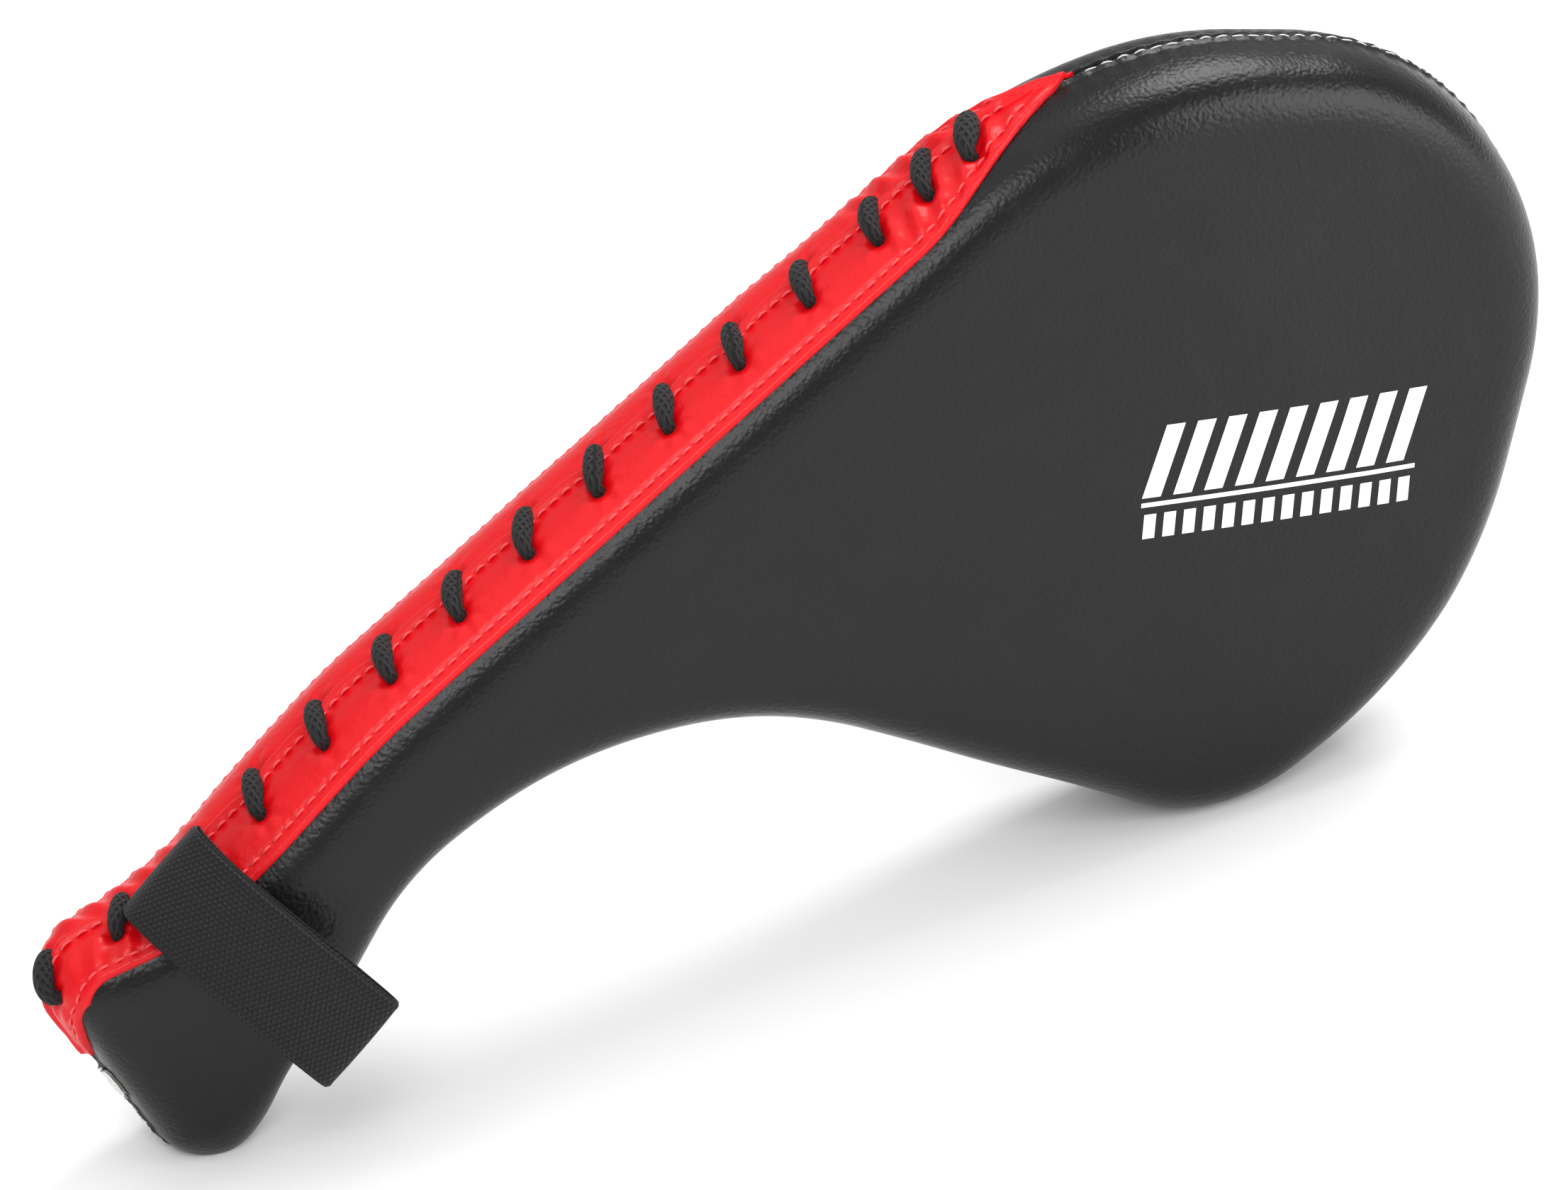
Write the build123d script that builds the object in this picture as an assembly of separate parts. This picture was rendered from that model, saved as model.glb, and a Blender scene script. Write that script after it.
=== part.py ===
"""Kick paddle: a padded, racket-shaped hand target, laced along one long edge, with an elastic wrist loop.

Local frame, in millimetres: X runs from the butt of the grip to the tip of the head, Y is the
thickness with the printed front face towards -Y, and Z runs across the paddle, laced edge up.
At the end every piece is turned about Y and lifted, so the paddle stands on its long plain edge.
"""
import os
from math import asin, atan2, cos, degrees, pi, radians, sin, tan

from build123d import *

# ---------------------------------------------------------------- driving dimensions
LENGTH = 400.0            # butt to tip along the grip
HEAD_BOTTOM_Z = -158.0    # plain edge of the head, below the grip's axis
HALF_THICKNESS = 22.0
EDGE_ROUNDING = 11.0      # where the faces turn into the side wall
COVER_THICKNESS = 1.5
FLATTENED = 0.5           # how far the soft wall is pressed in where it stands

# Outline of the middle plane: (x, z, corner radius), from the butt along the laced edge and back
OUTLINE = [
    (0.0, 24.0, 12.0), (36.0, 16.0, 70.0), (96.0, 28.0, 200.0), (329.0, 44.9, 110.0),
    (LENGTH, -19.0, 76.0), (LENGTH, -86.0, 76.0), (328.0, HEAD_BOTTOM_Z, 110.0),
    (251.0, HEAD_BOTTOM_Z, 45.0), (160.0, -15.5, 110.0), (84.0, -14.5, 60.0),
    (20.0, -47.0, 30.0), (0.0, -47.0, 12.0),
]
HEAD_FOOT = 7             # the outline corners that the paddle stands on
BUTT_FOOT = 11

# Plackets: the two red bands along the slit, leaf-shaped, tapering to the seam at both ends
PLACKET_HALF_WIDTH = 18.0
PLACKET_END_X = 326.0
PLACKET_TAPER = 34.0
SLIT_HALF_WIDTH = 0.4

# Stiff core and foam
CORE_THICKNESS = 6.0
CORE_INSET = 15.0
GRIP_END_X = 150.0        # grip foam gives way to head foam here
BUTT_END_X = 30.0         # the butt's soft filler ends here

# Lace: crossings counted from the butt along the laced edge
LACE_DIAMETER = 4.0
LACE_FIRST = 31.0
LACE_PITCH = 22.1
LACE_STEPS = [-0.95, 0, 2, 3, 4, 5, 6, 7, 8, 9, 10, 11, 11.75, 12.35]
LACE_HALF_SPAN = 7.5      # slit to hole
LACE_SLANT = 3.0          # front hole towards the butt, back hole towards the head
LACE_ABOVE = 2.6          # centre line above the plackets
LACE_BELOW = 6.4          # centre line below the plackets' outside
LACE_HOLE_RADIUS = 2.8
KNOT_RADIUS = 2.5

# Channel that holds the lace's inner runs, and the tongue on its floor
CHANNEL_HALF_WIDTH = 11.5
CHANNEL_DEPTH = 11.0      # from the plackets' outside
TONGUE_THICKNESS = 1.2
CHANNEL_END_X = 318.0

# Perimeter seam
WELT_WIDTH = 2.4
WELT_PROUD = 1.0
WELT_SUNK = 1.0

# Wrist loop: its section is drawn from the slit, first number towards the front, second outwards
LOOP_WIDTH = 25.0
LOOP_AT = 48.0            # along the laced edge from the butt's upper corner
LOOP_SKEW = 6.0           # degrees that the loop's width rises towards the head
WEBBING = 1.5
LOOP_DROOP = 68.0         # degrees below the front face's normal
LOOP_REACH = 38.0         # shoulder of the grip to the folded end
LOOP_THICKNESS = 12.0     # over both layers, near the shoulder
LOOP_END_THICKNESS = 6.0
LOOP_CROWN = (10.0, 11.0)
HINGE_HEIGHT = 4.2        # hinge line above the plackets
HINGE_GAP = 0.35          # hinge bead to the fixed ends of the elastic
ANCHOR_DEPTH = 3.0        # how far the fixed ends reach into the slit
SLOT_MARGIN = 0.5

# Edge label and printed mark
LABEL_SIZE = (11.0, 9.0)
LABEL_THICKNESS = 0.5
LABEL_Z = -18.0
PRINT_THICKNESS = 0.3
PRINT_CENTRE = (309.0, -79.0)
PRINT_ANGLE = -35.0       # degrees, rule against the grip
PRINT_LENGTH = 76.0
PRINT_RULE = 1.4
PRINT_BARS = 9
PRINT_BAR_HEIGHT = 20.0
PRINT_BAR_LEAN = 5.0
PRINT_DASHES = 14
PRINT_DASH_HEIGHT = 9.0

FAR = 300.0               # reach of the cutting blocks
FRONT = Vector(0, -1, 0)


def arc_centre(index):
    """Centre of the arc that rounds one corner of the outline, as (x, z)."""
    corner, radius = Vector(*OUTLINE[index][:2]), OUTLINE[index][2]
    to_last = (Vector(*OUTLINE[index - 1][:2]) - corner).normalized()
    to_next = (Vector(*OUTLINE[(index + 1) % len(OUTLINE)][:2]) - corner).normalized()
    half_angle = radians(to_last.get_angle(to_next)) / 2
    return corner + (to_last + to_next).normalized() * (radius / sin(half_angle))


def standing_turn():
    """The turn, in degrees, that brings the two rounded feet down to one level."""
    between_feet = arc_centre(HEAD_FOOT) - arc_centre(BUTT_FOOT)
    rise = OUTLINE[HEAD_FOOT][2] - OUTLINE[BUTT_FOOT][2]
    slope = atan2(between_feet.Y, between_feet.X)
    return degrees(asin(rise / between_feet.length) - slope)


STANDING_TURN = standing_turn()


# ---------------------------------------------------------------- shape functions
def outline_wire():
    """The closed outline of the middle plane: straight runs and tangent arcs."""
    corners = [(x, 0, z) for x, z, _ in OUTLINE]
    return FilletPolyline(*corners, radius=[r for _, _, r in OUTLINE], close=True)


OUTLINE_FACE = make_face(outline_wire())


def prism(inset, thickness=2 * FAR):
    """The outline drawn in by inset, or out where it is negative, and extruded across Y."""
    face = offset(OUTLINE_FACE, -inset) if inset else OUTLINE_FACE
    return extrude(face, amount=thickness / 2, dir=FRONT, both=True)


def racket(inset):
    """The closed padded shape, drawn in by inset on every side."""
    half = HALF_THICKNESS - inset
    block = prism(inset, 2 * half)
    rims = [edge for edge in block.edges() if abs(abs(edge.center().Y) - half) < 0.01]
    return fillet(rims, EDGE_ROUNDING - inset)


def between(x=(-FAR, 2 * FAR), y=(-FAR, FAR), z=(-FAR, FAR)):
    """A block between the given limits."""
    size = [high - low for low, high in (x, y, z)]
    centre = [(high + low) / 2 for low, high in (x, y, z)]
    return Pos(*centre) * Box(*size)


# ---------------------------------------------------------------- places along the laced edge
OUTLINE_WIRE = outline_wire()
BUTT_RUN = OUTLINE_WIRE.edges()[0].length     # the wire starts with the butt's straight end


def edge_point(along, y, height):
    """A point at a distance along the laced edge, at y, and at a height over the side wall."""
    place = OUTLINE_WIRE.position_at(BUTT_RUN + along, PositionMode.LENGTH)
    tangent = OUTLINE_WIRE.tangent_at(BUTT_RUN + along, PositionMode.LENGTH)
    outward = Vector(-tangent.Z, 0, tangent.X)
    return place + outward * height + Vector(0, y, 0)


def lace_places():
    return [LACE_FIRST + LACE_PITCH * step for step in LACE_STEPS]


# ---------------------------------------------------------------- covers, plackets and seam
OUTSIDE = racket(0)
INSIDE = racket(COVER_THICKNESS)
SHELL = OUTSIDE - INSIDE


def placket_zone():
    """The leaf-shaped zone of the two bands: over the laced edge and round the butt's end."""
    taper = PLACKET_END_X - PLACKET_TAPER
    leaf = make_face(
        Polyline(
            (-10, -PLACKET_HALF_WIDTH), (taper, -PLACKET_HALF_WIDTH), (PLACKET_END_X, 0),
            (taper, PLACKET_HALF_WIDTH), (-10, PLACKET_HALF_WIDTH), close=True,
        )
    )
    over_edge = Pos(0, 0, 3) * extrude(leaf, amount=FAR)
    wedge = make_face(
        Polyline(
            (-PLACKET_HALF_WIDTH, 4), (-PLACKET_HALF_WIDTH, 3), (0, -16),
            (PLACKET_HALF_WIDTH, 3), (PLACKET_HALF_WIDTH, 4), close=True,
        )
    )
    round_butt = Plane.YZ.offset(-10) * extrude(wedge, amount=22)
    return over_edge + round_butt


PLACKET_ZONE = placket_zone()


def lace_holes():
    """One hole through each band at every crossing, square to the side wall."""
    holes = []
    for along in lace_places():
        for side in (-1, 1):
            spot = along + side * LACE_SLANT
            outer = edge_point(spot, side * LACE_HALF_SPAN, 3.0)
            inner = edge_point(spot, side * LACE_HALF_SPAN, -4.0)
            bore = Plane(origin=outer, z_dir=inner - outer)
            holes.append(extrude(bore * Circle(LACE_HOLE_RADIUS), amount=7.0))
    return Part() + holes


def loop_frame():
    """Plane of the wrist loop's section: x towards the front, y outwards, z towards the butt."""
    lean = radians(LOOP_SKEW)
    origin = edge_point(LOOP_AT, 0, 0)
    return Plane(origin=origin, x_dir=FRONT, z_dir=Vector(-cos(lean), 0, -sin(lean)))


def elastic_plate(margin):
    """The elastic's two layers where they run down through the slit, grown by margin."""
    outline = Rectangle(2 * WEBBING + 2 * margin, 30)
    return extrude(loop_frame() * outline, amount=LOOP_WIDTH / 2 + margin, both=True)


def placket(side):
    """One red band; side is -1 for the front and 1 for the back."""
    limits = (-FAR, -SLIT_HALF_WIDTH) if side < 0 else (SLIT_HALF_WIDTH, FAR)
    band = (SHELL & PLACKET_ZONE) & between(y=limits)
    return band - lace_holes() - elastic_plate(SLOT_MARGIN)


def cover(side):
    """One black cover: a face and its half of the side wall, without the band."""
    limits = (-FAR, 0) if side < 0 else (0, FAR)
    return (SHELL & between(y=limits)) - PLACKET_ZONE - welt()


def welt():
    """The seam allowance that stands proud along the middle of the side wall."""
    ring = prism(-WELT_PROUD, WELT_WIDTH) - prism(WELT_SUNK, 2 * WELT_WIDTH)
    return ring - PLACKET_ZONE


# ---------------------------------------------------------------- inside
def laced_side():
    """The part of the paddle that holds the lace's channel."""
    corners = [(-10, -12), (14, -2), (90, 8), (CHANNEL_END_X, 8), (CHANNEL_END_X, 80), (-10, 80)]
    face = make_face(Polyline(*[(x, 0, z) for x, z in corners], close=True))
    return extrude(face, amount=CHANNEL_HALF_WIDTH, dir=FRONT, both=True)


CHANNEL = laced_side() & (prism(COVER_THICKNESS / 2) - prism(CHANNEL_DEPTH))
TONGUE = laced_side() & (prism(CHANNEL_DEPTH - TONGUE_THICKNESS) - prism(CHANNEL_DEPTH))
CORE = prism(CORE_INSET, CORE_THICKNESS) & between(x=(BUTT_END_X, FAR * 2))
PADDING = INSIDE - CHANNEL
HALF_CORE = CORE_THICKNESS / 2


def foam(x, side):
    """Foam of one face between two places along the grip, from the core to the cover."""
    limits = (-FAR, -HALF_CORE) if side < 0 else (HALF_CORE, FAR)
    return PADDING & between(x=x, y=limits)


def edge_foam():
    """The strip that fills the space round the core's edge."""
    band = PADDING & between(x=(BUTT_END_X, 2 * FAR), y=(-HALF_CORE, HALF_CORE))
    return band - CORE


# ---------------------------------------------------------------- lace
def lace_route():
    """Corners of the whipped lace: down the front, under, up the back and over, in turn."""
    route = []
    places = lace_places()
    for along, following in zip(places, places[1:] + places[-1:]):
        front = (along - LACE_SLANT, -LACE_HALF_SPAN)
        back = (along + LACE_SLANT, LACE_HALF_SPAN)
        route += [
            edge_point(*front, -LACE_BELOW), edge_point(*front, LACE_ABOVE),
            edge_point(*back, LACE_ABOVE), edge_point(*back, -LACE_BELOW),
        ]
        if following - along > 1.5 * LACE_PITCH:
            route.append(edge_point((along + following) / 2, 0, -LACE_BELOW))
    return route


def corner_radii(route):
    """The largest tangent arcs that the neighbouring runs leave room for."""
    radii = []
    for last, here, following in zip(route, route[1:], route[2:]):
        shorter = min((here - last).length, (following - here).length)
        turn = radians((here - last).get_angle(following - here))
        radii.append(0.45 * shorter / tan(turn / 2))
    return radii


def lace():
    route = lace_route()
    radii = corner_radii(route)
    path = FilletPolyline(*route, radius=radii)
    section = Plane(origin=path @ 0, z_dir=path % 0) * Circle(LACE_DIAMETER / 2)
    cord = sweep(section, path=path)
    ideal = pi * (LACE_DIAMETER / 2) ** 2 * path.length
    print(f"lace: {path.length:.0f} mm, volume {cord.volume:.0f} of {ideal:.0f} mm3")
    print(f"lace radii: {min(radii):.1f} to {max(radii):.1f} mm")
    return cord


def lace_knot(end):
    """The knot that holds one end of the lace inside the channel; end is 0 or -1."""
    return Pos(*lace_route()[end]) * Sphere(KNOT_RADIUS)


# ---------------------------------------------------------------- wrist loop
def loop_corners(inset):
    """Corners and radii of the folded elastic's contour in its section plane, drawn in by inset."""
    droop = radians(LOOP_DROOP)
    down = Vector(cos(droop), -sin(droop))
    away = Vector(sin(droop), cos(droop))
    under = HINGE_HEIGHT - WEBBING
    bend = EDGE_ROUNDING + under
    shoulder = Vector(HALF_THICKNESS - EDGE_ROUNDING, -EDGE_ROUNDING) + away * bend
    lower_fold = shoulder + down * LOOP_REACH
    crown = Vector(*LOOP_CROWN)
    apex = Vector(-2 * WEBBING * crown.X / (crown.Y - HINGE_HEIGHT - WEBBING), under)
    corners = [
        apex, shoulder - down * bend * tan(droop / 2), lower_fold,
        lower_fold + away * LOOP_END_THICKNESS, shoulder + down * 6 + away * LOOP_THICKNESS, crown,
    ]
    fold = 0.4 * LOOP_END_THICKNESS
    radii = [0.3, bend + inset, fold - inset, fold - inset, 25 - inset, 6 - inset]
    drawn_in = []
    for index, corner in enumerate(corners):
        before = (corner - corners[index - 1]).normalized()
        after = (corners[(index + 1) % len(corners)] - corner).normalized()
        normals = Vector(-before.Y, before.X), Vector(-after.Y, after.X)
        share = inset / (1 + normals[0].dot(normals[1]))
        drawn_in.append(corner + (normals[0] + normals[1]) * share)
    return drawn_in, radii


def loop_contour(inset):
    corners, radii = loop_corners(inset)
    return make_face(FilletPolyline(*corners, radius=radii, close=True))


def wrist_loop():
    root = Pos(-20, HINGE_HEIGHT) * Rectangle(40, 40)
    folded = loop_contour(0) - root - loop_contour(WEBBING)
    section = folded + Pos(0, HINGE_HEIGHT) * Circle(WEBBING)
    return extrude(loop_frame() * section, amount=LOOP_WIDTH / 2, both=True)


def loop_anchor():
    """The elastic's sewn ends, from just under the hinge down into the slit."""
    top = HINGE_HEIGHT - WEBBING - HINGE_GAP
    cut = loop_frame() * Pos(0, top + 20) * Box(40, 40, 60)
    return elastic_plate(0) - cut - prism(ANCHOR_DEPTH)


# ---------------------------------------------------------------- trim on the covers
def edge_label():
    """A blank tag folded over the seam on the butt's end."""
    proud = WELT_PROUD + LABEL_THICKNESS
    return Pos(-proud / 2, 0, LABEL_Z) * Box(proud, *LABEL_SIZE) - welt()


def face_print():
    """A plain ornament on the front face: bars standing on a rule with dashes under it."""
    rule = Rectangle(PRINT_LENGTH, PRINT_RULE)
    bar_pitch = PRINT_LENGTH / PRINT_BARS
    dash_pitch = PRINT_LENGTH / PRINT_DASHES
    shapes = rule
    for index in range(PRINT_BARS):
        left = -PRINT_LENGTH / 2 + index * bar_pitch
        right = left + 0.6 * bar_pitch
        bar = make_face(
            Polyline(
                (left, 0), (right, 0), (right + PRINT_BAR_LEAN, PRINT_BAR_HEIGHT),
                (left + PRINT_BAR_LEAN, PRINT_BAR_HEIGHT), close=True,
            )
        )
        shapes += bar
    for index in range(PRINT_DASHES):
        middle = -PRINT_LENGTH / 2 + (index + 0.5) * dash_pitch
        dash = Pos(middle, -PRINT_DASH_HEIGHT / 2) * Rectangle(0.6 * dash_pitch, PRINT_DASH_HEIGHT)
        shapes += dash
    centre_x, centre_z = PRINT_CENTRE
    plane = Plane(
        origin=(centre_x, -HALF_THICKNESS, centre_z),
        x_dir=(cos(radians(PRINT_ANGLE)), 0, sin(radians(PRINT_ANGLE))),
        z_dir=(0, -1, 0),
    )
    return extrude(plane * shapes, amount=PRINT_THICKNESS)


# ---------------------------------------------------------------- the assembly, standing
def assembly():
    """Every piece in the paddle's own frame: x along the grip, laced edge up, face to -y."""
    cord = lace()
    return {
        "front_cover": cover(-1),
        "back_cover": cover(1),
        "front_placket": placket(-1),
        "back_placket": placket(1),
        "perimeter_welt": welt(),
        "core_board": CORE,
        "grip_foam_front": foam((BUTT_END_X, GRIP_END_X), -1),
        "grip_foam_back": foam((BUTT_END_X, GRIP_END_X), 1),
        "head_foam_front": foam((GRIP_END_X, FAR * 2), -1),
        "head_foam_back": foam((GRIP_END_X, FAR * 2), 1),
        "edge_foam": edge_foam(),
        "butt_foam": PADDING & between(x=(-FAR, BUTT_END_X)),
        "lace_tongue": TONGUE,
        "lace": cord,
        "lace_knot_butt": lace_knot(0) - cord,
        "lace_knot_head": lace_knot(-1) - cord,
        "loop_anchor": loop_anchor(),
        "wrist_loop": wrist_loop(),
        "edge_label": edge_label(),
        "face_print": face_print(),
    }


PIECES = assembly()
TURNED = Rot(0, -STANDING_TURN, 0)
LOWEST = (TURNED * OUTSIDE).bounding_box().min.Z
LIFT = -LOWEST - FLATTENED
FLOOR_CUT = Pos(0, 0, -50) * Box(1400, 400, 100)


def standing(shape):
    """The piece as it stands on its laced-edge-up pose, its contact patches pressed flat."""
    raised = Pos(0, 0, LIFT) * (TURNED * shape)
    if raised.bounding_box().min.Z < 0:
        raised = raised - FLOOR_CUT
    return raised


STANDING = {name: standing(shape) for name, shape in PIECES.items()}
BOXES = [shape.bounding_box() for shape in STANDING.values()]
LOW_X, HIGH_X = min(box.min.X for box in BOXES), max(box.max.X for box in BOXES)
LOW_Y, HIGH_Y = min(box.min.Y for box in BOXES), max(box.max.Y for box in BOXES)
SHIFT = Vector(-(LOW_X + HIGH_X) / 2, -(LOW_Y + HIGH_Y) / 2, 0)


def placed_point(point):
    """A point of the paddle's own frame, in the shared frame."""
    turn = radians(STANDING_TURN)
    return Vector(
        point.X * cos(turn) - point.Z * sin(turn) + SHIFT.X,
        point.Y + SHIFT.Y,
        point.X * sin(turn) + point.Z * cos(turn) + LIFT + SHIFT.Z,
    )


os.makedirs("parts", exist_ok=True)
for name, shape in STANDING.items():
    export_step(Pos(*SHIFT) * shape, f"parts/{name}.step")

HINGE_FRAME = loop_frame()
HINGE_POINT = placed_point(HINGE_FRAME.origin + HINGE_FRAME.y_dir * HINGE_HEIGHT)
HINGE_AXIS = placed_point(HINGE_FRAME.z_dir) - placed_point(Vector(0, 0, 0))
print(f"shift {SHIFT}, lift {LIFT:.3f}, turn {STANDING_TURN:.3f}")
print(f"extent {HIGH_X - LOW_X:.1f} x {HIGH_Y - LOW_Y:.1f} mm")
FOOT = arc_centre(HEAD_FOOT)
print(f"head foot at {placed_point(Vector(FOOT.X, 0, FOOT.Y))}")
print(f"hinge at {HINGE_POINT}, axis {HINGE_AXIS}")
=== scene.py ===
"""Kick paddle in leather, lace and elastic, on the shared CAD frame.

Shapes are worked out in the paddle's own frame, in millimetres: x along the grip, z across the
paddle with the laced edge up, y through the thickness with the front face towards -y. place()
takes them to the shared row frame, in metres.
"""
from math import acos, atan2, ceil, cos, pi, radians, sin, tan

import bmesh
import bpy
import numpy as np
from mathutils import Matrix, Vector
from mathutils.geometry import delaunay_2d_cdt


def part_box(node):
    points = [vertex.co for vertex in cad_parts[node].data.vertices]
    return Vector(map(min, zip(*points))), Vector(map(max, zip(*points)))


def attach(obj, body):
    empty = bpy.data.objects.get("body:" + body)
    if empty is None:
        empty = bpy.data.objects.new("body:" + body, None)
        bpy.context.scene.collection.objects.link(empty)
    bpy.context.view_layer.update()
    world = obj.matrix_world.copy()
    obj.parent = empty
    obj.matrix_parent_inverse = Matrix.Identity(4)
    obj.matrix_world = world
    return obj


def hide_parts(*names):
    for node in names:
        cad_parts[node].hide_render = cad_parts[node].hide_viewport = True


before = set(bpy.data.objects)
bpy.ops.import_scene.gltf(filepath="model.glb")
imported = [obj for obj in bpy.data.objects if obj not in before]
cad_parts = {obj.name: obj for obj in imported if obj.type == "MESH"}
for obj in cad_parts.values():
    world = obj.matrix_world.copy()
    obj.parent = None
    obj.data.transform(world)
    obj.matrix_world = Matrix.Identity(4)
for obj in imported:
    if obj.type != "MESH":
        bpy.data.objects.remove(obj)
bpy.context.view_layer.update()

# ---------------------------------------------------------------- sizes shared with the CAD, in mm
OUTLINE = [
    (0.0, 24.0, 12.0), (36.0, 16.0, 70.0), (96.0, 28.0, 200.0), (329.0, 44.9, 110.0),
    (400.0, -19.0, 76.0), (400.0, -86.0, 76.0), (328.0, -158.0, 110.0), (251.0, -158.0, 45.0),
    (160.0, -15.5, 110.0), (84.0, -14.5, 60.0), (20.0, -47.0, 30.0), (0.0, -47.0, 12.0),
]
HALF_THICKNESS = 22.0
STANDING_TURN = radians(23.374)
LIFT = 38.867
SHIFT_X = -193.880
SHIFT_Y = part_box("back_cover")[1].y * 1000 - HALF_THICKNESS
RIM_DEPTH = 18.0          # how far in from the wall the face reaches its full thickness
RIM_POWER = 2.7           # how square the padded edge is
RING_DEPTH = 10.0         # the faces' own mesh starts this far in
LACE_FIRST = 31.0
LACE_PITCH = 22.1
LACE_STEPS = [-0.95, 0, 2, 3, 4, 5, 6, 7, 8, 9, 10, 11, 11.75, 12.35]
LACES = [LACE_FIRST + LACE_PITCH * step for step in LACE_STEPS]
HALF_SPAN = 5.4
LACE_CENTRE = -2.2        # the lace lies over the front band more than over the back one
SLANT = 3.0
BUTT_TIP = -16.0          # ends of the red bands, along the laced edge
HEAD_TIP = 334.0
BAND_WIDTH = 19.0         # half width of a red band
FULLER_HEAD = 2.0         # how much further out the wall stands round the head
OVER_FOAM = 0.6           # leather over the CAD's outline


FLOOR_GAP = 0.05


def place(points):
    """Own frame in mm to the row frame in metres, for an array of points."""
    p = np.asarray(points, float).reshape(-1, 3)
    c, s = cos(STANDING_TURN), sin(STANDING_TURN)
    x = p[:, 0] * c - p[:, 2] * s + SHIFT_X
    z = p[:, 0] * s + p[:, 2] * c + LIFT
    z = np.maximum(z, FLOOR_GAP)
    return np.stack([x, p[:, 1] + SHIFT_Y, z], 1) / 1000


# ---------------------------------------------------------------- outline
def rounded_outline(corners, step=1.0):
    """Dense points round the outline, clockwise from the butt's upper corner."""
    points = []
    count = len(corners)
    for i in range(count):
        before = Vector(corners[i - 1][:2])
        here = Vector(corners[i][:2])
        after = Vector(corners[(i + 1) % count][:2])
        radius = corners[i][2]
        a, b = (before - here).normalized(), (after - here).normalized()
        half = acos(max(-1, min(1, a.dot(b)))) / 2
        centre = here + (a + b).normalized() * (radius / sin(half))
        start, end = here + a * (radius / tan(half)), here + b * (radius / tan(half))
        a0 = atan2(start.y - centre.y, start.x - centre.x)
        a1 = atan2(end.y - centre.y, end.x - centre.x)
        turn = (a1 - a0 + pi) % (2 * pi) - pi
        steps = max(3, ceil(abs(turn) * radius / step))
        for k in range(steps + 1):
            angle = a0 + turn * k / steps
            points.append((centre.x + radius * cos(angle), centre.y + radius * sin(angle)))
    return np.array(points)


RAW = rounded_outline(OUTLINE)
RAW = np.vstack([RAW, RAW[:1]])
RUN = np.concatenate([[0], np.cumsum(np.hypot(*np.diff(RAW, axis=0).T))])
PERIMETER = RUN[-1]


def outline_at(s):
    """Point and outward normal of the outline at distances s along it."""
    s = np.asarray(s, float) % PERIMETER

    def point(t):
        t = t % PERIMETER
        return np.stack([np.interp(t, RUN, RAW[:, 0]), np.interp(t, RUN, RAW[:, 1])], -1)

    tangent = point(s + 1.2) - point(s - 1.2)
    tangent /= np.maximum(np.linalg.norm(tangent, axis=-1, keepdims=True), 1e-9)
    return point(s), np.stack([-tangent[..., 1], tangent[..., 0]], -1)


def thinness(x, side=-1):
    """The padding's depth at x on one side, as a share of its depth at the head's front."""
    along = [0, 12, 30, 62, 230, 330, 400]
    front = np.interp(x, along, [0.66, 0.74, 0.86, 1.0, 1.0, 1.0, 0.88])
    back = np.interp(x, along, [0.66, 0.74, 0.86, 1.0, 1.0, 0.70, 0.66])
    return np.where(np.asarray(side) > 0, back, front)


PROFILE_ANGLE = np.linspace(0, pi / 2, 600)
PROFILE_Y = HALF_THICKNESS * np.sin(PROFILE_ANGLE) ** (2 / RIM_POWER)
PROFILE_IN = RIM_DEPTH * (1 - np.cos(PROFILE_ANGLE) ** (2 / RIM_POWER))
PROFILE_RUN = np.concatenate([[0], np.cumsum(np.hypot(np.diff(PROFILE_Y), np.diff(PROFILE_IN)))])
RING_RUN = float(np.interp(RING_DEPTH, PROFILE_IN, PROFILE_RUN))


def smooth(t):
    t = np.clip(t, 0, 1)
    return t * t * (3 - 2 * t)


def waves(s, q, seed, scale, count=7):
    """Smooth seeded unevenness over a surface."""
    r = np.random.default_rng(seed)
    out = 0
    for _ in range(count):
        direction = r.uniform(0, 2 * pi)
        length = scale * r.uniform(0.6, 1.8)
        phase = r.uniform(0, 2 * pi)
        out = out + np.sin((s * cos(direction) + q * sin(direction)) * 2 * pi / length + phase)
    return out / count


def surf(s, q, h=0.0):
    """The padded surface: s along the outline, q round the section from the wall's middle, h outward."""
    s, q, h = np.broadcast_arrays(np.asarray(s, float), np.asarray(q, float), np.asarray(h, float))
    point, normal = outline_at(s)
    side = np.where(q < 0, -1.0, 1.0)
    run = np.abs(q)
    y, inset = np.interp(run, PROFILE_RUN, PROFILE_Y), np.interp(run, PROFILE_RUN, PROFILE_IN)
    ahead, behind = run + 0.6, np.maximum(run - 0.6, 0)
    dy = np.interp(ahead, PROFILE_RUN, PROFILE_Y) - np.interp(behind, PROFILE_RUN, PROFILE_Y)
    di = np.interp(ahead, PROFILE_RUN, PROFILE_IN) - np.interp(behind, PROFILE_RUN, PROFILE_IN)
    size = np.maximum(np.hypot(dy, di), 1e-9)
    out = h * dy / size - inset
    out = out + FULLER_HEAD * smooth((point[..., 0] - 250) / 130) + OVER_FOAM
    x = point[..., 0] + normal[..., 0] * out
    z = point[..., 1] + normal[..., 1] * out
    return np.stack([x, (y * thinness(x, side) + h * di / size) * side, z], -1)


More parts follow.
